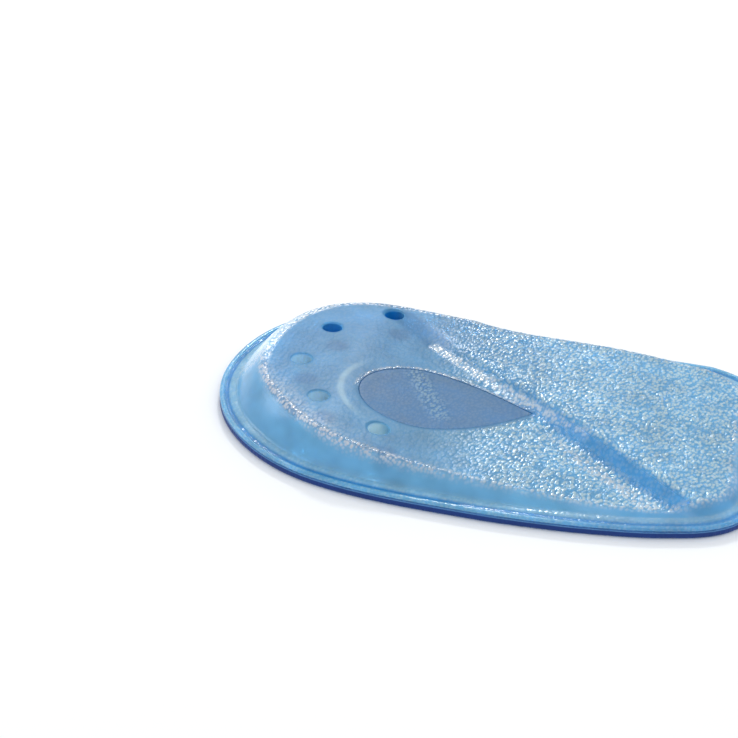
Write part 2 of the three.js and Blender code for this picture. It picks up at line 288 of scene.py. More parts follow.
class CupPlan:
    """Plan and heights of the cup, worked out from its named sizes."""

    SIDE_STEPS = 120
    HEEL_STEPS = 240
    CORNER_STEPS = 32
    FRONT_STEPS = 60

    def __init__(self, sizes):
        for name in HeelCupSizes.__annotations__:
            setattr(self, name, getattr(sizes, name))
        self.gel_floor = self.cover + self.glue_gap
        self.flange_top = self.gel_floor + self.flange
        self.groove_floor = self.flange_top - self.groove_depth
        self.wall_foot = self.bead + self.groove + self.ledge
        self.outline = self.draw_outline()
        self.run = [0.0]
        for a, b in zip(self.outline, self.outline[1:] + self.outline[:1]):
            self.run.append(self.run[-1] + (b - a).length)

    def place(self, share):
        return Vector(((share[0] - 0.5) * self.length, share[1] * self.width / 2))

    def half_width(self, x, side):
        along = x / self.length + 0.5
        widest = WIDEST_PLACE[side]
        if along < widest:
            return self.width / 2 * math.sqrt(max(0.0, 1 - (1 - along / widest) ** HEEL_ROUNDNESS))
        narrowing = read_table(SIDE_NARROWING[side], 1, along)
        return self.width / 2 - narrowing * (self.width - self.front_width) / 2

    def side_point(self, x, side, sign):
        """Point of the outline on one side; sign is -1 on the outer side and 1 on the arch side."""
        shift = self.heel_shift * (1 - smoothstep(x / self.length + 0.5, 0, SHIFT_FADE))
        return Vector((x, sign * self.half_width(x, side) + shift))

    def draw_side(self, side, sign):
        """One side of the outline, from the heel's tip to the middle of the front edge."""
        tip = -self.length / 2
        widest = tip + WIDEST_PLACE[side] * self.length
        corner_start = self.length / 2 - self.front_corner
        points = []
        for i in range(self.HEEL_STEPS):
            x = widest - (widest - tip) * math.cos(i / self.HEEL_STEPS * math.pi / 2)
            points.append(self.side_point(x, side, sign))
        for i in range(self.SIDE_STEPS):
            points.append(self.side_point(mix(widest, corner_start, i / self.SIDE_STEPS), side, sign))
        start = self.side_point(corner_start, side, sign)
        knee = self.side_point(self.length / 2, side, sign)
        end = Vector((knee.x, knee.y - sign * self.front_corner))
        for i in range(self.CORNER_STEPS):
            t = i / self.CORNER_STEPS
            points.append(start * (1 - t) ** 2 + knee * 2 * t * (1 - t) + end * t**2)
        for i in range(self.FRONT_STEPS):
            points.append(end.lerp(Vector((self.length / 2, 0.0)), i / self.FRONT_STEPS))
        return points

    def draw_outline(self):
        """Closed outline, anticlockwise from the heel's tip."""
        outer = self.draw_side("outer", -1)
        arch = self.draw_side("arch", 1)
        return outer + [Vector((self.length / 2, 0.0))] + arch[:0:-1]

    def at(self, run):
        """Point of the outline at a distance along it."""
        run %= self.run[-1]
        low, high = 0, len(self.outline)
        while high - low > 1:
            middle = (low + high) // 2
            if self.run[middle] <= run:
                low = middle
            else:
                high = middle
        a = self.outline[low]
        b = self.outline[(low + 1) % len(self.outline)]
        return a.lerp(b, (run - self.run[low]) / (self.run[low + 1] - self.run[low]))

    def ray(self, run):
        """Point of the outline, the way in from it, the reach to the spine and the way's square share."""
        reach_out = 0.4 * MM
        point = self.at(run)
        tangent = self.at(run + reach_out) - self.at(run - reach_out)
        normal = Vector((-tangent.y, tangent.x)).normalized()
        spine_x = min(max(point.x, SPINE[0] * self.length), SPINE[1] * self.length)
        way = Vector((spine_x, 0.0)) - point
        direction = way.normalized()
        return point, direction, way.length, direction.dot(normal)

    def inset(self, run, distance):
        point, direction, _, square = self.ray(run)
        return point + direction * (distance / square)

    def towards_spine(self, run, start, share):
        """Place on the way from an inset to the small loop that is kept round the spine."""
        point, direction, reach, square = self.ray(run)
        return point + direction * mix(start / square, SPINE_REACH * reach, share)

    def past_step(self, x, y):
        """Distance past the middle of the step, towards the arch pad."""
        back, front = self.place(STEP_BACK), self.place(STEP_FRONT)
        run = (front - back).normalized()
        return run.x * (y - back.y) - run.y * (x - back.x)

    def step_share(self, x, y):
        return smoothstep(self.past_step(x, y), -self.step_width / 2, self.step_width / 2)

    def base_height(self, x, y):
        along = x / self.length + 0.5
        outer = read_table(BASE_HEIGHTS, 1, along)
        arch = read_table(BASE_HEIGHTS, 2, along)
        return self.heel_height * mix(outer, arch, self.step_share(x, y))

    def hollow(self, x, y):
        centre = self.place(HOLLOW_CENTRE)
        along = (x - centre.x) / (self.hollow_length / 2)
        across = (y - centre.y) / (self.hollow_width / 2)
        reach = along**2 + across**2
        return self.hollow_depth * (1 - reach) ** 2 if reach < 1 else 0.0

    def wall_lean(self, point):
        along = point.x / self.length + 0.5
        start, end = LEAN_FADE["outer" if point.y < 0 else "arch"]
        return mix(self.lean_heel, self.lean_side, smoothstep(along, start, end))

    def shoulder(self, run):
        """Top of the wall, where the base starts."""
        return self.inset(run, self.wall_foot + self.wall_lean(self.at(run)))

    def recess_floor(self, x, y):
        return self.gel_floor + self.hollow(x, y) + self.web

    def hole_centres(self):
        centre = self.place(HOLE_ARC_CENTRE)
        for i in range(self.hole_count):
            turn = self.hole_start + i * self.hole_step
            yield centre + Vector((math.cos(turn), math.sin(turn))) * self.hole_arc

    def teardrop(self, offset, steps):
        """Loop of the recess's outline, moved out by offset, and further at its tip."""
        round_share = 0.36
        taper = 1.7
        length = self.recess_length + 2.6 * offset
        half = self.recess_width / 2 + offset
        side = []
        for i in range(steps + 1):
            along = (1 - math.cos(i / steps * math.pi)) / 2
            if along < round_share:
                width = half * math.sqrt(max(0.0, 1 - (1 - along / round_share) ** 2))
            else:
                width = half * (1 - ((along - round_share) / (1 - round_share)) ** taper)
            side.append(Vector((along * length - offset, width)))
        start, tip = self.place(RECESS_ROUND_END), self.place(RECESS_TIP)
        turn = Matrix.Rotation(math.atan2(tip.y - start.y, tip.x - start.x), 2)
        return [start + turn @ p for p in [Vector((p.x, -p.y)) for p in side] + side[-2:0:-1]]

    def teardrop_middle(self):
        """Place inside the teardrop that its rings close round."""
        return self.place(RECESS_ROUND_END).lerp(self.place(RECESS_TIP), 0.42)


def from_line(spot, back, front):
    """Distance from a place to the line between two others, and the share of the way along it."""
    side = front - back
    share = min(1.0, max(0.0, (spot - back).dot(side) / side.length_squared))
    return (spot - back - side * share).length, share


def distance_to_loop(point, loop):
    """Distance from a point to a closed loop, negative inside it."""
    nearest = 1e9
    inside = False
    for a, b in zip(loop, loop[1:] + loop[:1]):
        side = b - a
        share = min(1.0, max(0.0, (point - a).dot(side) / side.length_squared))
        nearest = min(nearest, (point - a - side * share).length)
        if (a.y > point.y) != (b.y > point.y):
            if point.x < a.x + (point.y - a.y) / (b.y - a.y) * (b.x - a.x):
                inside = not inside
    return -nearest if inside else nearest


def pebble_relief(x, y, size):
    """Rounded pebbles of uneven size, drawn out across the cup: 1 on a top, 0 in the gaps."""
    u = (x - 0.2 * y) * 1.1 / size
    v = (y + 0.2 * x) * 0.6 / size
    warp = noise.noise(Vector((u * 0.6, v * 0.6, 3.1))) * 0.45
    distances, _ = noise.voronoi(Vector((u + warp, v - warp, 0.4)))
    edge = min(1.0, (distances[1] - distances[0]) / 0.6)
    lift = 0.8 + 0.35 * noise.noise(Vector((u * 0.8, v * 0.8, 7.7)))
    return lift * (1 - (1 - edge) ** 2)


def pebble_rise(plan, x, y, share):
    """How far a pebble lifts or sinks the base at a place."""
    return (pebble_relief(x, y, plan.pebble) - PEBBLE_LEVEL) * share * plan.pebble_depth


def pebble_share(plan, x, y):
    """How strongly the base is pebbled at a place: softly at the heel, fully at the front."""
    along = x / plan.length + 0.5
    share = mix(0.14, 1.0, smoothstep(along + 0.16 * y / plan.width, 0.36, 0.56))
    step = plan.step_share(x, y)
    on_step = smoothstep(step, 0.05, 0.3) * smoothstep(step, 0.85, 0.65) * smoothstep(along, 0.5, 0.7)
    return share * (1 - 0.6 * on_step)


def quiet_places(plan):
    """Loop and hole centres that the pebbles stop short of."""
    return plan.teardrop(0.0, 40), list(plan.hole_centres())


def pebble_mask(plan, x, y, quiet):
    loop, centres = quiet
    middle = plan.teardrop_middle()
    mask = 1.0
    point = Vector((x, y))
    if (point - middle).length < 0.62 * plan.recess_length:
        mask *= smoothstep(distance_to_loop(point, loop), 0.3 * MM, 1.0 * MM)
    for centre in centres:
        gap = (point - centre).length - plan.hole_diameter / 2
        if gap < 1.2 * MM:
            mask *= smoothstep(gap, 0.3 * MM, 1.0 * MM)
    return mask


def new_piece(name, mesh, material, slot, *nodes):
    """Shows a finished mesh as a piece that stands for the CAD nodes."""
    piece = bpy.data.objects.new(name, mesh)
    bpy.context.scene.collection.objects.link(piece)
    mesh.materials.clear()
    mesh.materials.append(material)
    mesh.polygons.foreach_set("use_smooth", [True] * len(mesh.polygons))
    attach(piece, BODY)
    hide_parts(*nodes)
    return piece


def to_mesh(bm, name):
    bmesh.ops.recalc_face_normals(bm, faces=bm.faces)
    mesh = bpy.data.meshes.new(name)
    bm.to_mesh(mesh)
    bm.free()
    return mesh


def ring_out(bm, edges, layer, position):
    """Extrudes a loop of edges and puts the new loop where position says."""
    made = bmesh.ops.extrude_edge_only(bm, edges=edges)["geom"]
    fresh = {g for g in made if isinstance(g, bmesh.types.BMVert)}
    for vert in fresh:
        vert.co = position(vert[layer])
    return [
        g for g in made
        if isinstance(g, bmesh.types.BMEdge) and g.verts[0] in fresh and g.verts[1] in fresh
    ]


def close_loop(bm, edges):
    cap = bmesh.ops.contextual_create(bm, geom=edges)["faces"]
    bmesh.ops.triangulate(bm, faces=cap, quad_method="BEAUTY", ngon_method="BEAUTY")


def rim_profile(plan):
    """Ledge, groove, bead and outer side of the flange, as distances in from the outline and heights."""

    def groove_point(start, end, share, drop):
        return mix(start, end, share), plan.flange_top - drop * plan.groove_depth

    ledge_start = plan.bead + plan.groove
    profile = [(plan.wall_foot - 0.15 * MM, plan.flange_top)]
    for share, drop in ((0.45, 0.0), (0.25, 0.06), (0.08, 0.3)):
        profile.append(groove_point(ledge_start, plan.wall_foot, share, drop))
    for share, drop in ((0.95, 0.75), (0.75, 1.0), (0.4, 1.05), (0.12, 0.9)):
        profile.append(groove_point(plan.bead, ledge_start, share, drop))
    steps = 7
    for i in range(steps + 1):
        turn = i / steps * math.pi
        rise = (math.sin(turn) ** 0.7 - 1) * plan.groove_depth
        profile.append((plan.bead * (1 + math.cos(turn)) / 2, plan.flange_top + rise))
    side_height = plan.flange_top - plan.groove_depth - plan.gel_floor
    for inset, share in ((0.0, 0.4), (0.05, 0.12), (0.2, 0.0)):
        profile.append((inset * MM, plan.gel_floor + share * side_height))
    return profile


def gel_blank(plan, cells_along, cells_across):
    """Gel body before its holes: a grid for the base, then loops down the wall, over the rim and under."""
    perimeter = plan.run[-1]
    corner = plan.HEEL_STEPS + plan.SIDE_STEPS + plan.CORNER_STEPS // 2
    outer_front = plan.run[corner]
    arch_front = plan.run[len(plan.outline) - corner]
    outer_heel = CORNER_RUN
    arch_heel = perimeter - CORNER_RUN

    outer_side = [mix(outer_heel, outer_front, i / cells_along) for i in range(cells_along + 1)]
    arch_side = [mix(arch_heel, arch_front, i / cells_along) for i in range(cells_along + 1)]
    heel_side = [mix(outer_heel, arch_heel - perimeter, i / cells_across) for i in range(cells_across + 1)]
    front_side = [mix(outer_front, arch_front, i / cells_across) for i in range(cells_across + 1)]
    outer_curve = [plan.shoulder(run) for run in outer_side]
    arch_curve = [plan.shoulder(run) for run in arch_side]
    heel_curve = [plan.shoulder(run) for run in heel_side]
    front_curve = [plan.shoulder(run) for run in front_side]

    bm = bmesh.new()
    layer = bm.verts.layers.float.new("rim_run")
    bmesh.ops.create_grid(bm, x_segments=cells_along, y_segments=cells_across, size=1.0)
    quiet = quiet_places(plan)
    for vert in bm.verts:
        u, v = (vert.co.x + 1) / 2, (vert.co.y + 1) / 2
        i, j = round(u * cells_along), round(v * cells_across)
        across = outer_curve[i].lerp(arch_curve[i], v)
        along = heel_curve[j].lerp(front_curve[j], u)
        corners = outer_curve[0].lerp(outer_curve[-1], u).lerp(arch_curve[0].lerp(arch_curve[-1], u), v)
        spot = across + along - corners
        if j == 0:
            vert[layer] = outer_side[i]
        elif j == cells_across:
            vert[layer] = arch_side[i]
        elif i == 0:
            vert[layer] = heel_side[j]
        elif i == cells_along:
            vert[layer] = front_side[j]
        vert.co = Vector((spot.x, spot.y, plan.base_height(spot.x, spot.y)))

    for vert in bm.verts:
        x, y, z = vert.co
        share = pebble_share(plan, x, y) * pebble_mask(plan, x, y, quiet)
        vert.co.z = z + pebble_rise(plan, x, y, share)

    def wall_ring(step):
        def position(run):
            point = plan.at(run)
            spot = plan.inset(run, plan.wall_foot + step * plan.wall_lean(point))
            height = mix(plan.flange_top, plan.base_height(spot.x, spot.y), 1 - (1 - step) ** WALL_BULGE)
            share = pebble_share(plan, spot.x, spot.y) * smoothstep(step, 0.62, 0.95)
            height += pebble_rise(plan, spot.x, spot.y, share)
            return Vector((spot.x, spot.y, height))
        return position

    def rim_ring(distance, height):
        def position(run):
            spot = plan.inset(run, distance)
            return Vector((spot.x, spot.y, height))
        return position

    def foot_ring(share):
        def position(run):
            spot = plan.towards_spine(run, plan.wall_foot, share)
            return Vector((spot.x, spot.y, plan.gel_floor + plan.hollow(spot.x, spot.y)))
        return position

    edges = [e for e in bm.edges if e.is_boundary]
    for step in (0.93, 0.86, 0.79, 0.71, 0.62, 0.52, 0.4, 0.28, 0.16, 0.06, 0.0):
        edges = ring_out(bm, edges, layer, wall_ring(step))
    for distance, height in rim_profile(plan):
        edges = ring_out(bm, edges, layer, rim_ring(distance, height))
    for share in (0.0, 0.1, 0.25, 0.4, 0.6, 0.8, 1.0):
        edges = ring_out(bm, edges, layer, foot_ring(share))
    close_loop(bm, edges)
    bm.verts.layers.float.remove(layer)
    return bm


def add_hole_cutter(bm, plan, centre):
    """Lathed cutter of one blind hole, with a rounded floor and a lip that opens at the surface."""
    radius = plan.hole_diameter / 2
    surface = plan.base_height(centre.x, centre.y)
    floor = plan.gel_floor + plan.hollow(centre.x, centre.y) + plan.web
    profile = (
        (0.0, floor),
        (radius - 0.5 * MM, floor),
        (radius - 0.15 * MM, floor + 0.12 * MM),
        (radius, floor + 0.45 * MM),
        (radius, surface - 0.45 * MM),
        (radius + 0.06 * MM, surface - 0.2 * MM),
        (radius + 0.25 * MM, surface),
        (radius + 1.4 * MM, surface + 1.0 * MM),
        (0.0, surface + 1.0 * MM),
    )
    chain = [bm.verts.new((centre.x + r, centre.y, z)) for r, z in profile]
    edges = [bm.edges.new(pair) for pair in zip(chain, chain[1:])]
    bmesh.ops.spin(
        bm, geom=chain + edges, cent=(centre.x, centre.y, 0), axis=(0, 0, 1),
        angle=math.tau, steps=40, use_merge=True, use_duplicate=False,
    )
    bmesh.ops.remove_doubles(bm, verts=bm.verts, dist=0.001 * MM)


def add_teardrop_cutter(bm, plan):
    """Cutter of the recess: walls along the teardrop, a lip that opens and a floor over the hollow."""
    steps = 90
    middle = plan.teardrop_middle()

    def loop_at(offset, height):
        return [Vector((p.x, p.y, height(p.x, p.y))) for p in plan.teardrop(offset, steps)]

    def inner_at(share):
        return [
            Vector((q.x, q.y, plan.recess_floor(q.x, q.y)))
            for q in (p.lerp(middle, share) for p in plan.teardrop(0.0, steps))
        ]

    rings = [
        loop_at(0.9 * MM, lambda x, y: plan.base_height(x, y) + 0.9 * MM),
        loop_at(0.04 * MM, lambda x, y: plan.base_height(x, y)),
        loop_at(0.02 * MM, lambda x, y: plan.base_height(x, y) - 0.12 * MM),
        loop_at(0.0, lambda x, y: plan.base_height(x, y) - 0.45 * MM),
        loop_at(0.0, plan.recess_floor),
        *[inner_at(share) for share in (0.25, 0.5, 0.75, 0.95)],
    ]
    verts = [bm.verts.new(point) for point in rings[0]]
    edges = [bm.edges.new((a, b)) for a, b in zip(verts, verts[1:] + verts[:1])]
    top = edges
    for ring in rings[1:]:
        made = bmesh.ops.extrude_edge_only(bm, edges=edges)["geom"]
        fresh = [g for g in made if isinstance(g, bmesh.types.BMVert)]
        known = {}
        for vert in fresh:
            for edge in vert.link_edges:
                other = edge.other_vert(vert)
                if other in verts:
                    known[verts.index(other)] = vert
        verts = [known[i] for i in range(len(ring))]
        for vert, point in zip(verts, ring):
            vert.co = point
        kept = set(verts)
        edges = [g for g in made if isinstance(g, bmesh.types.BMEdge) and set(g.verts) <= kept]
    close_loop(bm, edges)
    close_loop(bm, top)


def cut(mesh, cutter):
    """Takes the cutter out of a mesh."""
    body = bpy.data.objects.new("cut_body", mesh)
    tool = bpy.data.objects.new("cut_tool", cutter)
    for obj in (body, tool):
        bpy.context.scene.collection.objects.link(obj)
    modifier = body.modifiers.new("Cut", "BOOLEAN")
    modifier.operation = "DIFFERENCE"
    modifier.solver = "EXACT"
    modifier.object = tool
    graph = bpy.context.evaluated_depsgraph_get()
    result = bpy.data.meshes.new_from_object(body.evaluated_get(graph))
    for obj in (body, tool):
        bpy.data.objects.remove(obj)
    return result


def tree_of(points):
    """Tree that finds the nearest of some places of the plan."""
    tree = kdtree.KDTree(len(points))
    for i, point in enumerate(points):
        tree.insert((point.x, point.y, 0), i)
    tree.balance()
    return tree


class GelMarks:
    """What the gel's material has to know of a place, each mark from 0 to about 1."""

    # The deep blue, pale, glow, highlight and shade marks paint light and shade into the colour; the pebble
    # tops are partly painted glints; matte sets only the gloss
    NAMES = ("pebbled", "pebble_top", "matte", "deep", "pale", "glow", "frost", "thick")
    GUIDE_POINTS = 900

    def __init__(self, plan):
        self.plan = plan
        self.quiet = quiet_places(plan)
        runs = [plan.run[-1] * i / self.GUIDE_POINTS for i in range(self.GUIDE_POINTS)]
        self.outline = tree_of([plan.at(run) for run in runs])
        self.shoulder = tree_of([plan.shoulder(run) for run in runs])
        self.crescent = plan.teardrop(3.6 * MM, 40)
        self.round_end, self.tip = plan.place(RECESS_ROUND_END), plan.place(RECESS_TIP)
        self.streak = plan.place(STREAK_BACK), plan.place(STREAK_FRONT)
        self.dip = plan.place(SHADED_PATCH_BACK), plan.place(SHADED_PATCH_FRONT)

    def read(self, point):
        """Marks of one place."""
        plan = self.plan
        self.x, self.y, self.z = point
        self.spot = point.xy
        self.along = self.x / plan.length + 0.5
        self.from_rim = self.outline.find((self.x, self.y, 0))[2]
        self.from_ridge = self.shoulder.find((self.x, self.y, 0))[2]
        self.ridge = plan.wall_foot + plan.wall_lean(self.spot)
        self.on_base = smoothstep(self.from_rim, self.ridge - 0.5 * MM, self.ridge + 0.2 * MM)
        self.marks = dict.fromkeys(self.NAMES, 0.0)
        self.mark_pebbles()
        self.mark_ridge()
        self.mark_streak()
        self.mark_far_heel()
        self.mark_step()
        self.mark_wall()
        self.mark_recess()
        self.mark_holes()
        self.marks["thick"] = min(1.0, self.marks["thick"])
        return self.marks

    def raise_mark(self, name, value):
        self.marks[name] = max(self.marks[name], value)

    def mark_pebbles(self):
        """Pebbles of the base, and a light trace of them on the rim."""
        plan = self.plan
        pebbled = 0.3
        if self.from_rim >= plan.wall_foot:
            mask = pebble_mask(plan, self.x, self.y, self.quiet)
            pebbled = self.on_base * pebble_share(plan, self.x, self.y) * mask
        self.marks["pebbled"] = pebbled
        self.marks["pebble_top"] = pebble_relief(self.x, self.y, plan.pebble) if pebbled else 0.5

    def mark_ridge(self):
        """Painted highlight of pale specks along the ridge round the base, spread wider at the outer side
        of the heel.
        """
        strength = mix(1.3, 0.5, smoothstep(self.along, 0.2, 0.6))
        self.raise_mark("frost", smoothstep(self.from_ridge, 1.4 * MM, 0.2 * MM) * strength)
        near_heel = smoothstep(self.along, 0.36, 0.2) * smoothstep(self.y, 0.0, -0.2 * self.plan.width)
        spread = smoothstep(self.from_ridge, 6 * MM, 1 * MM)
        self.raise_mark("frost", 0.34 * near_heel * spread * self.on_base)

    def mark_streak(self):
        """Painted highlight and glow: a bright streak along the upper edge of the step, fading to the
        front.
        """
        off, share = from_line(self.spot, *self.streak)
        streak = smoothstep(off, mix(1.7, 1.3, share) * MM, 0.4 * MM) * self.on_base
        self.raise_mark("frost", mix(1.6, 0.45, share) * streak)
        self.raise_mark("glow", mix(0.5, 0.1, share) * streak)

    def mark_far_heel(self):
        """Painted highlight and glow at the far side of the heel, on its ridge and wall, for light that the
        gel passes on there.
        """
        plan = self.plan
        across = self.y / plan.width
        shine = smoothstep(self.along, 0.2, 0.06) * smoothstep(across, -0.1, 0.02)
        if self.from_rim < self.ridge:
            shine *= smoothstep(self.from_rim, 0.8 * plan.wall_foot, 1.5 * plan.wall_foot)
            shine *= smoothstep(across, 0.3, 0.14)
        else:
            shine *= smoothstep(self.from_ridge, 1.9 * MM, 0.7 * MM)
        self.raise_mark("glow", shine)
        self.raise_mark("frost", 2.4 * shine)

    def mark_step(self):
        """Painted deep blue band on the step, painted highlight below it, painted shade on heel and patch.
        """
        width = self.plan.step_width
        past = self.plan.past_step(self.x, self.y)
        band = smoothstep(past, -0.5 * width, -0.3 * width) * smoothstep(past, 0.32 * width, 0.1 * width)
        band *= smoothstep(self.along, 0.46, 0.66) * smoothstep(self.along, 0.97, 0.9)
        self.raise_mark("deep", 0.52 * self.on_base * band)
        below = smoothstep(abs(past + 0.85 * width), 2.4 * MM, 0.6 * MM)
        below *= smoothstep(self.along, 0.58, 0.74) * smoothstep(self.along, 0.97, 0.88)
        self.raise_mark("frost", 0.8 * self.on_base * below)
        dip = smoothstep(from_line(self.spot, *self.dip)[0], 4 * MM, 1 * MM)
        self.marks["matte"] = self.on_base * (1 + 0.3 * dip)
        self.marks["thick"] = self.on_base * (0.7 * smoothstep(self.along, 0.66, 0.36) + 0.4 * dip)

    def mark_wall(self):
        """Painted shade: deep blue groove and deeper blue front wall; painted highlight: pale foot of the
        wall.
        """
        plan = self.plan
        front_wall = smoothstep(self.along, 0.6, 0.85) * smoothstep(self.y, 0.0, -0.2 * plan.width)
        self.raise_mark("deep", 0.3 * (1 - self.on_base) * front_wall)
        if self.z < plan.flange_top and self.from_rim < plan.wall_foot:
            off = abs(self.from_rim - plan.bead - plan.groove / 2)
            self.raise_mark("deep", 0.8 * smoothstep(off, 0.6 * plan.groove, 0.3 * plan.groove))
        if self.from_rim < self.ridge:
            off = abs(self.from_rim - plan.wall_foot + 0.45 * plan.ledge)
            self.marks["pale"] = 0.3 * smoothstep(off, 0.8 * plan.ledge, 0.3 * plan.ledge)

    def mark_recess(self):
        """Painted shade close round the recess, a painted highlight on its far lip, and a painted pale
        crescent of light at its round end.
        """
        plan = self.plan
        way_to_tip = self.tip - self.round_end
        way_here = self.spot - self.round_end
        if (self.spot - plan.teardrop_middle()).length < 0.62 * plan.recess_length:
            off = distance_to_loop(self.spot, self.quiet[0])
            self.raise_mark("thick", smoothstep(off, 1.8 * MM, 0.0))
            far_side = smoothstep(way_to_tip.cross(way_here), 0.0, 60 * MM * MM)
            lip = smoothstep(abs(off - 0.5 * MM), 0.6 * MM, 0.2 * MM)
            self.raise_mark("frost", 0.9 * far_side * lip * self.on_base)
        if self.on_base and way_here.length < 0.5 * plan.recess_length:
            faces_heel = smoothstep(way_to_tip.normalized().dot(way_here.normalized()), 0.3, -0.4)
            off = abs(distance_to_loop(self.spot, self.crescent))
            self.marks["pale"] = 0.55 * smoothstep(off, 1.0 * MM, 0.2 * MM) * faces_heel

    def mark_holes(self):
        """Painted deep blue shade, or painted pale light with glow, inside each hole, and a painted soft
        shade for its foot seen through the gel.
        """
        plan, marks = self.plan, self.marks
        radius = plan.hole_diameter / 2
        depth = plan.base_height(self.x, self.y) - self.z
        for i, centre in enumerate(self.quiet[1]):
            if (self.spot - centre).length < radius + 0.1 * MM:
                inside = smoothstep(depth, 0.1 * MM, 0.6 * MM)
                marks["deep"] = inside if i < SHADED_HOLES else 0.0
                marks["pale"] = 0.0 if i < SHADED_HOLES else inside
                marks["glow"] = 0.8 * marks["pale"] * smoothstep((self.x - centre.x) / radius, 1.0, -0.4)
                marks["thick"] = 0.0
                marks["frost"] = 0.0
            shade = centre + Vector(HOLE_SHADE) * MM
            marks["thick"] += 0.5 * smoothstep((self.spot - shade).length, 3.2 * MM, 0.6 * MM)


def mark_gel(mesh, plan):
    """Writes the marks of every vertex as attributes of the mesh."""
    gel = GelMarks(plan)
    rows = [gel.read(vert.co) for vert in mesh.vertices]
    for name in GelMarks.NAMES:
        layer = mesh.attributes.new(name, "FLOAT", "POINT")
        layer.data.foreach_set("value", [row[name] for row in rows])


# Materials


def set_inputs(node, **values):
    """Sets a node's sockets by their names, with an underscore for each blank."""
    for label, value in values.items():
        node.inputs[label.replace("_", " ")].default_value = value


class NodeMaker:
    """Adds nodes to one node tree and links them."""

    def __init__(self, tree):
        self.tree = tree

    def add(self, kind):
        return self.tree.nodes.new(kind)

    def feed(self, value, socket):
        """Gives a socket a number, a colour or another node's output."""
        if isinstance(value, (int, float)):
            socket.default_value = value
        elif isinstance(value, (tuple, Color)):
            socket.default_value = (*value, 1.0)
        else:
            self.tree.links.new(value, socket)

    def calc(self, operation, *values):
        node = self.add("ShaderNodeMath")
        node.operation = operation
        for socket, value in zip(node.inputs, values):
            self.feed(value, socket)
        return node.outputs[0]

    def blend(self, factor, a, b, kind="MIX"):
        node = self.add("ShaderNodeMix")
        node.data_type = "RGBA"
        node.blend_type = kind
        for socket, value in ((node.inputs[0], factor), (node.inputs[6], a), (node.inputs[7], b)):
            self.feed(value, socket)
        return node.outputs[2]

    def times(self, tint, value):
        """A colour times a value or another colour."""
        return self.blend(1.0, tint, value, "MULTIPLY")

    def spread(self, value, low, high):
        """A value as its share of the way from low to high."""
        node = self.add("ShaderNodeMapRange")
        set_inputs(node, From_Min=low, From_Max=high)
        self.feed(value, node.inputs["Value"])
        return node.outputs["Result"]

    def attribute(self, name):
        node = self.add("ShaderNodeAttribute")
        node.attribute_name = name
        return node.outputs["Fac"]

    def object_place(self):
        return self.add("ShaderNodeTexCoord").outputs["Object"]

    def place_axes(self):
        """X, Y and Z of the place on the object."""
        node = self.add("ShaderNodeSeparateXYZ")
        self.feed(self.object_place(), node.inputs[0])
        return node.outputs["X"], node.outputs["Y"], node.outputs["Z"]

    def noise(self, size, detail, roughness=0.5):
        """Noise with patches of one size."""
        node = self.add("ShaderNodeTexNoise")
        set_inputs(node, Detail=detail, Roughness=roughness)
        self.feed(self.object_place(), node.inputs["Vector"])
        self.feed(self.calc("DIVIDE", 1.0, size), node.inputs["Scale"])
        return node.outputs["Fac"]

    def group(self, name, **values):
        node = self.add("ShaderNodeGroup")
        node.node_tree = shared_group(name)
        set_inputs(node, **values)
        return node

    def bump(self, height, shader, distance):
        node = self.add("ShaderNodeBump")
        set_inputs(node, Distance=distance, Strength=1.0)
        self.feed(height, node.inputs["Height"])
        self.feed(node.outputs["Normal"], shader.inputs["Normal"])

    def absorb(self, output, tint, density):
        """Tints the light on its way through the piece."""
        node = self.add("ShaderNodeVolumeAbsorption")
        set_inputs(node, Color=(*tint, 1.0), Density=density)
        self.feed(node.outputs[0], output.inputs["Volume"])


def new_group(name, inputs, outputs):
    """Empty shader group with float sockets: its node maker, its inputs and its outputs."""
    tree = bpy.data.node_groups.new(name, "ShaderNodeTree")
    for label, default in inputs.items():
        socket = tree.interface.new_socket(name=label, in_out="INPUT", socket_type="NodeSocketFloat")
        socket.default_value = default
    for label in outputs:
        tree.interface.new_socket(name=label, in_out="OUTPUT", socket_type="NodeSocketFloat")
    nodes = NodeMaker(tree)
    return nodes, nodes.add("NodeGroupInput").outputs, nodes.add("NodeGroupOutput").inputs


def fine_grain_group():
    """Fine uneven grain: a height for a bump."""
    nodes, entry, result = new_group("Fine Grain", {"Grain Size": 0.0004}, ["Height"])
    nodes.feed(nodes.noise(entry["Grain Size"], 3.0, 0.6), result["Height"])
    return nodes.tree


def pebble_skin_group():
    """Small domes side by side, drawn out across the cup: their height and their tops, from 0 to 1."""
    nodes, entry, result = new_group("Pebble Skin", {"Pebble Size": 0.0008}, ["Height", "Tops"])
    x, y, z = nodes.place_axes()
    join = nodes.add("ShaderNodeCombineXYZ")
    nodes.feed(nodes.calc("MULTIPLY_ADD", y, -0.2, x), join.inputs["X"])
    nodes.feed(nodes.calc("MULTIPLY", nodes.calc("MULTIPLY_ADD", x, 0.2, y), 0.6), join.inputs["Y"])
    nodes.feed(z, join.inputs["Z"])
    cells = nodes.add("ShaderNodeTexVoronoi")
    nodes.feed(join.outputs[0], cells.inputs["Vector"])
    nodes.feed(nodes.calc("DIVIDE", 1.0, entry["Pebble Size"]), cells.inputs["Scale"])
    distance = cells.outputs["Distance"]
    height = nodes.calc("SUBTRACT", 1.0, nodes.calc("MULTIPLY", distance, distance))
    nodes.feed(height, result["Height"])
    nodes.feed(nodes.spread(height, 0.62, 0.95), result["Tops"])
    return nodes.tree


def soft_mottle_group():
    """Slow uneven shade over a surface, from 0 to 1."""
    nodes, entry, result = new_group("Soft Mottle", {"Patch Size": 0.012}, ["Shade"])
    nodes.feed(nodes.spread(nodes.noise(entry["Patch Size"], 2.0), 0.3, 0.7), result["Shade"])
    return nodes.tree


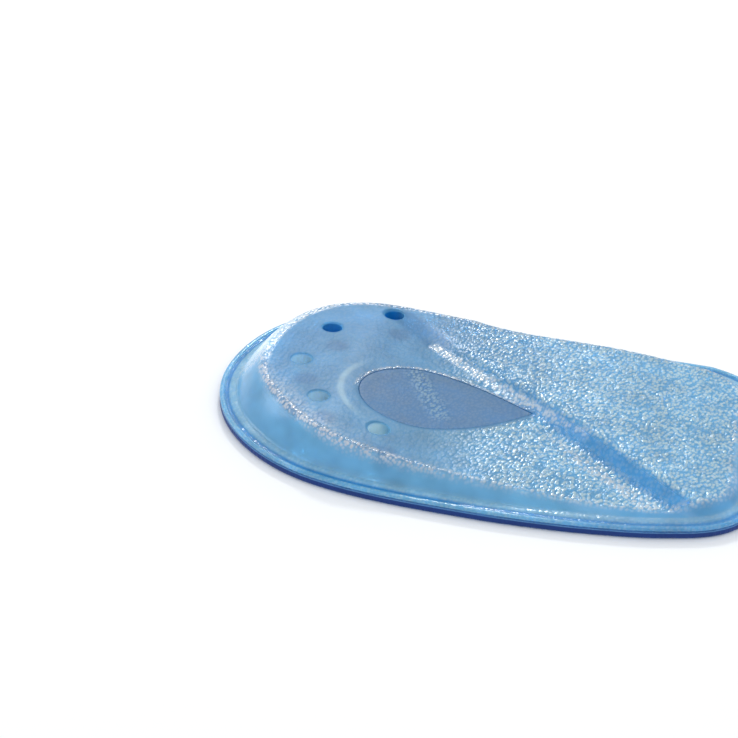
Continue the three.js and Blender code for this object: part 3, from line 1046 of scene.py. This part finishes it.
def knit_group():
    """Fine knit of a textile: the height of its loops, from 0 to 1."""
    nodes, entry, result = new_group("Fine Knit", {"Stitch Size": 0.0006}, ["Height"])
    x, y, _ = nodes.place_axes()
    turn = nodes.calc("DIVIDE", math.tau, entry["Stitch Size"])
    half_turn = nodes.calc("MULTIPLY", nodes.calc("MULTIPLY", x, turn), 0.5)
    ribs = nodes.calc("ABSOLUTE", nodes.calc("SINE", half_turn))
    rows = nodes.calc("SINE", nodes.calc("MULTIPLY_ADD", ribs, 2.2, nodes.calc("MULTIPLY", y, turn)))
    nodes.feed(nodes.calc("MULTIPLY_ADD", nodes.calc("MULTIPLY", rows, ribs), 0.5, 0.5), result["Height"])
    return nodes.tree


SHADER_GROUPS = {
    "Fine Grain": fine_grain_group,
    "Pebble Skin": pebble_skin_group,
    "Soft Mottle": soft_mottle_group,
    "Fine Knit": knit_group,
}


def shared_group(name):
    """The shader group of that name, built when it is first asked for."""
    return bpy.data.node_groups.get(name) or SHADER_GROUPS[name]()


def new_material(name):
    """New material, its node maker, its Principled shader and its output."""
    material = bpy.data.materials.new(name)
    material.use_nodes = True
    tree = material.node_tree
    return material, NodeMaker(tree), tree.nodes["Principled BSDF"], tree.nodes["Material Output"]


def gel_material(finish):
    """Translucent gel with glinting pebbles, painted highlights on the ridge, painted shade or light in the
    holes and a clear wall.
    """
    material, nodes, shader, output = new_material("Pebbled Gel")
    pebbled = nodes.attribute("pebbled")
    frost = nodes.attribute("frost")
    fine = nodes.group("Fine Grain", Grain_Size=0.00032)
    slow = nodes.group("Soft Mottle", Patch_Size=0.006)
    domes = nodes.group("Pebble Skin", Pebble_Size=0.00062)
    relief = nodes.calc("MULTIPLY_ADD", nodes.attribute("pebble_top"), 0.45, -0.2)
    tops = nodes.calc("ADD", domes.outputs["Tops"], relief)
    # Pale pebble tops, partly painted glints
    base = nodes.blend(pebbled, finish.gel_wall, nodes.blend(tops, finish.gel_gap, finish.gel_top))
    # Painted shade over the heel, round the recess, at the holes' feet and over the duller patch
    base = nodes.blend(nodes.attribute("thick"), base, nodes.times(base, finish.thick))
    # Painted deep blue shade
    base = nodes.blend(nodes.attribute("deep"), base, finish.deep)
    # Painted pale light
    base = nodes.blend(nodes.attribute("pale"), base, finish.pale)
    # Painted highlight, broken into specks
    specks = nodes.calc("MULTIPLY_ADD", tops, 0.8, 0.2)
    base = nodes.blend(nodes.calc("MULTIPLY", frost, specks), base, finish.frost)
    shade = nodes.calc("MULTIPLY_ADD", slow.outputs["Shade"], 0.26, 0.83)
    nodes.feed(nodes.times(base, shade), shader.inputs["Base Color"])
    rough = nodes.calc("MINIMUM", nodes.calc("MAXIMUM", pebbled, frost), 1.0)
    matte = nodes.calc("MULTIPLY", nodes.attribute("matte"), nodes.calc("SUBTRACT", 1.0, rough))
    nodes.feed(nodes.calc("MULTIPLY_ADD", matte, 0.26, 0.15), shader.inputs["Roughness"])
    nodes.feed(nodes.calc("MULTIPLY_ADD", matte, -0.76, 0.8), shader.inputs["Specular IOR Level"])
    # Painted glow, given off as emission
    glow = nodes.blend(nodes.attribute("glow"), (0.0, 0.0, 0.0), finish.glow)
    nodes.feed(glow, shader.inputs["Emission Color"])
    height = nodes.calc("MULTIPLY", domes.outputs["Height"], rough)
    height = nodes.calc("MULTIPLY_ADD", fine.outputs["Height"], 0.12, height)
    nodes.bump(height, shader, 0.00015)
    set_inputs(shader, Emission_Strength=0.3, IOR=1.41, Transmission_Weight=0.45)
    nodes.absorb(output, (0.35, 0.72, 0.95), 140.0)
    return material


def insert_material(finish):
    """Softer gel, smooth and a little glossy, with a line of small glints across it, as bumps and painted
    pale dots.
    """
    material, nodes, shader, output = new_material("Soft Clear Gel")
    fine = nodes.group("Fine Grain", Grain_Size=0.0005)
    slow = nodes.group("Soft Mottle", Patch_Size=0.006)
    domes = nodes.group("Pebble Skin", Pebble_Size=0.00055)
    sparkle = nodes.calc("MULTIPLY_ADD", nodes.attribute("sparkle"), 0.5, 0.12)
    shade = nodes.calc("MULTIPLY_ADD", slow.outputs["Shade"], 0.2, 0.85)
    dots = nodes.calc("MULTIPLY", domes.outputs["Tops"], sparkle)
    # Painted glints: pale dots along the sparkle line
    tint = nodes.blend(dots, nodes.times(finish.insert, shade), finish.pale)
    nodes.feed(tint, shader.inputs["Base Color"])
    roughness = nodes.calc("MULTIPLY_ADD", slow.outputs["Shade"], 0.12, 0.4)
    nodes.feed(roughness, shader.inputs["Roughness"])
    height = nodes.calc("MULTIPLY", domes.outputs["Height"], sparkle)
    height = nodes.calc("MULTIPLY_ADD", fine.outputs["Height"], 0.12, height)
    nodes.bump(height, shader, 0.00015)
    set_inputs(shader, Specular_IOR_Level=0.3, IOR=1.41, Transmission_Weight=0.6)
    nodes.absorb(output, (0.45, 0.72, 0.92), 120.0)
    return material


def textile_material(finish):
    """Fine matte knit with a darker cut edge, partly painted shade."""
    material, nodes, shader, _ = new_material("Blue Knit")
    loops = nodes.group("Fine Knit", Stitch_Size=0.0007)
    fine = nodes.group("Fine Grain", Grain_Size=0.0002)
    slow = nodes.group("Soft Mottle", Patch_Size=0.01)
    lift = nodes.calc("MULTIPLY", loops.outputs["Height"], fine.outputs["Height"])
    threads = nodes.blend(lift, finish.textile, finish.thread)
    # Cut edge: its darker colour, deepened with painted shade
    threads = nodes.blend(nodes.attribute("cut_edge"), threads, finish.cut_edge)
    shade = nodes.calc("MULTIPLY_ADD", slow.outputs["Shade"], 0.15, 0.9)
    nodes.feed(nodes.times(threads, shade), shader.inputs["Base Color"])
    height = nodes.calc("MULTIPLY_ADD", fine.outputs["Height"], 0.35, loops.outputs["Height"])
    nodes.bump(height, shader, 0.00009)
    set_inputs(shader, Roughness=0.85, Sheen_Weight=0.25, Sheen_Roughness=0.4)
    return material


def floor_material(finish):
    """Pale matte floor."""
    material, nodes, shader, _ = new_material("Pale Floor")
    slow = nodes.group("Soft Mottle", Patch_Size=0.3)
    shade = nodes.calc("MULTIPLY_ADD", slow.outputs["Shade"], 0.02, 0.98)
    nodes.feed(nodes.times(finish.floor, shade), shader.inputs["Base Color"])
    set_inputs(shader, Roughness=0.9)
    return material


class HEELCUP_OT_gel_body(bpy.types.Operator):
    """Build the gel body with its bead, groove, wall, pebbled base, holes and recess"""

    bl_idname = "heelcup.gel_body"
    bl_label = "Gel Body"

    def execute(self, context):
        plan = CupPlan(context.scene.heel_cup_sizes)
        blank = to_mesh(gel_blank(plan, *BASE_CELLS), "gel_blank")
        bm = bmesh.new()
        for centre in plan.hole_centres():
            add_hole_cutter(bm, plan, centre)
        add_teardrop_cutter(bm, plan)
        mesh = cut(blank, to_mesh(bm, "gel_cutter"))
        mesh.name = "gel_body_dressed"
        mark_gel(mesh, plan)
        material = gel_material(context.scene.heel_cup_finish)
        new_piece("gel_body_dressed", mesh, material, "gel", "gel_body")
        return {"FINISHED"}


class HEELCUP_OT_soft_insert(bpy.types.Operator):
    """Build the soft teardrop insert that fills the recess"""

    bl_idname = "heelcup.soft_insert"
    bl_label = "Soft Insert"

    def execute(self, context):
        plan = CupPlan(context.scene.heel_cup_sizes)
        middle = plan.teardrop_middle()
        steps = 70

        def ring(offset, share, height):
            loop = [p.lerp(middle, share) for p in plan.teardrop(offset, steps)]
            return [Vector((p.x, p.y, height(p.x, p.y))) for p in loop]

        def top(drop):
            return lambda x, y: plan.base_height(x, y) - plan.insert_sunk - drop * MM

        def floor(x, y):
            return plan.recess_floor(x, y) + 0.3 * MM

        gap = -plan.insert_gap
        rings = [ring(gap, share, floor) for share in (0.95, 0.75, 0.5, 0.25, 0.0)]
        rings += [ring(gap, 0.0, top(drop)) for drop in (1.2, 0.6, 0.3)]
        edge = ((0.01, 0.08), (0.05, 0.03), (0.15, 0.01), (0.4, 0.0))
        rings += [ring(gap - inset * MM, 0.0, top(drop)) for inset, drop in edge]
        face = (0.04, 0.1, 0.18, 0.28, 0.4, 0.52, 0.64, 0.76, 0.87, 0.96)
        rings += [ring(gap - 0.4 * MM, share, top(0.0)) for share in face]
        bm = bmesh.new()
        layer = bm.verts.layers.float.new("rim_run")
        verts = [bm.verts.new(point) for point in rings[0]]
        for i, vert in enumerate(verts):
            vert[layer] = i
        edges = [bm.edges.new((a, b)) for a, b in zip(verts, verts[1:] + verts[:1])]
        first = edges
        for points in rings[1:]:
            edges = ring_out(bm, edges, layer, lambda i, points=points: points[round(i)])
        close_loop(bm, edges)
        close_loop(bm, first)
        material = insert_material(context.scene.heel_cup_finish)
        mesh = to_mesh(bm, "soft_insert_dressed")
        back, front = plan.place(SPARKLE_BACK), plan.place(SPARKLE_FRONT)
        values = [
            smoothstep(from_line(vert.co.xy, back, front)[0], 3.0 * MM, 0.6 * MM)
            for vert in mesh.vertices
        ]
        mesh.attributes.new("sparkle", "FLOAT", "POINT").data.foreach_set("value", values)
        new_piece("soft_insert_dressed", mesh, material, "soft_gel", "soft_insert")
        return {"FINISHED"}


class HEELCUP_OT_top_cover(bpy.types.Operator):
    """Build the textile cover of the foot side"""

    bl_idname = "heelcup.top_cover"
    bl_label = "Textile Cover"

    def execute(self, context):
        plan = CupPlan(context.scene.heel_cup_sizes)
        count = 480
        perimeter = plan.run[-1]

        def face_ring(share, height):
            def position(run):
                spot = plan.towards_spine(run, plan.wall_foot, share)
                return Vector((spot.x, spot.y, height(spot.x, spot.y)))
            return position

        def edge_ring(inset, height):
            def position(run):
                spot = plan.inset(run, inset * MM)
                return Vector((spot.x, spot.y, height(spot.x, spot.y)))
            return position

        def above(drop):
            return lambda x, y: plan.cover + plan.hollow(x, y) - drop * MM

        def below(lift):
            return lambda x, y: plan.hollow(x, y) + lift * MM

        face = (0.0, 0.07, 0.16, 0.27, 0.4, 0.54, 0.68, 0.82, 1.0)
        lower_edge = ((1.0, 0.0), (0.45, 0.02), (0.2, 0.1), (0.06, 0.26), (0.0, 0.5))
        upper_edge = ((0.0, 0.45), (0.04, 0.2), (0.14, 0.06), (0.3, 0.0))
        rings = [face_ring(share, below(0.0)) for share in reversed(face)]
        rings += [edge_ring(inset, below(lift)) for inset, lift in lower_edge]
        rings += [edge_ring(inset, above(drop)) for inset, drop in upper_edge]
        rings += [face_ring(share, above(0.0)) for share in face]
        bm = bmesh.new()
        layer = bm.verts.layers.float.new("rim_run")
        bmesh.ops.create_circle(bm, segments=count, radius=1.0)
        for vert in bm.verts:
            vert[layer] = (math.atan2(vert.co.y, vert.co.x) % math.tau) / math.tau * perimeter
            vert.co = rings[0](vert[layer])
        edges = first = list(bm.edges)
        # Marks the cut edge, for its darker colour and painted shade
        cut_edge = bm.verts.layers.float.new("cut_edge")
        rim = range(len(face) + 3, len(face) + 7)
        for i, position in enumerate(rings[1:], 1):
            edges = ring_out(bm, edges, layer, position)
            for edge in edges:
                edge.verts[0][cut_edge] = float(i in rim)
        close_loop(bm, edges)
        close_loop(bm, first)
        material = textile_material(context.scene.heel_cup_finish)
        new_piece("top_cover_dressed", to_mesh(bm, "top_cover_dressed"), material, "textile", "top_cover")
        return {"FINISHED"}


class HEELCUP_OT_stage(bpy.types.Operator):
    """Build the pale floor, the soft lights and the camera"""

    bl_idname = "heelcup.stage"
    bl_label = "Stage"

    def execute(self, context):
        scene = context.scene
        bm = bmesh.new()
        bmesh.ops.create_grid(bm, x_segments=8, y_segments=8, size=3.0)
        bmesh.ops.translate(bm, verts=bm.verts, vec=(0, 0, -0.02 * MM))
        mesh = bpy.data.meshes.new("floor")
        bm.to_mesh(mesh)
        bm.free()
        floor = bpy.data.objects.new("floor", mesh)
        scene.collection.objects.link(floor)
        mesh.materials.append(floor_material(scene.heel_cup_finish))

        world = bpy.data.worlds.new("Studio")
        world.use_nodes = True
        background = world.node_tree.nodes["Background"]
        background.inputs["Color"].default_value = (0.93, 0.96, 1.0, 1.0)
        background.inputs["Strength"].default_value = 0.86
        scene.world = world

        for name, where, size, power in LAMPS:
            data = bpy.data.lights.new(name, "AREA")
            data.shape = "DISK"
            data.size = size
            data.energy = power
            lamp = bpy.data.objects.new(name, data)
            lamp.location = where
            lamp.rotation_euler = (-Vector(where)).to_track_quat("-Z", "Y").to_euler()
            scene.collection.objects.link(lamp)

        data = bpy.data.cameras.new("camera")
        data.lens = CAMERA_LENS
        data.clip_start = 0.01
        data.clip_end = 20.0
        camera = bpy.data.objects.new("camera", data)
        turns = Euler([math.radians(turn) for turn in CAMERA_TURNS])
        camera.matrix_world = Matrix.Translation(CAMERA_PLACE) @ turns.to_matrix().to_4x4()
        scene.collection.objects.link(camera)
        scene.camera = camera
        scene.view_settings.view_transform = "Standard"
        return {"FINISHED"}


class HEELCUP_PT_sidebar(bpy.types.Panel):
    """Sizes, colours and steps of the heel cup"""

    bl_idname = "HEELCUP_PT_sidebar"
    bl_label = "Heel Cup"
    bl_space_type = "VIEW_3D"
    bl_region_type = "UI"
    bl_category = "Heel Cup"

    def draw(self, context):
        layout = self.layout
        for step in STEPS:
            layout.operator(step.bl_idname)
        for group, classes in (
            (context.scene.heel_cup_sizes, HeelCupSizes),
            (context.scene.heel_cup_finish, HeelCupFinish),
        ):
            box = layout.box()
            for name in classes.__annotations__:
                box.prop(group, name)


STEPS = (HEELCUP_OT_stage, HEELCUP_OT_top_cover, HEELCUP_OT_soft_insert, HEELCUP_OT_gel_body)
CLASSES = (HeelCupSizes, HeelCupFinish, *STEPS, HEELCUP_PT_sidebar)


def register():
    for cls in CLASSES:
        bpy.utils.register_class(cls)
    bpy.types.Scene.heel_cup_sizes = PointerProperty(type=HeelCupSizes)
    bpy.types.Scene.heel_cup_finish = PointerProperty(type=HeelCupFinish)


def unregister():
    del bpy.types.Scene.heel_cup_finish
    del bpy.types.Scene.heel_cup_sizes
    for cls in reversed(CLASSES):
        bpy.utils.unregister_class(cls)


def main():
    register()
    bpy.ops.heelcup.stage()
    bpy.ops.heelcup.top_cover()
    bpy.ops.heelcup.soft_insert()
    bpy.ops.heelcup.gel_body()


if __name__ == "__main__":
    main()
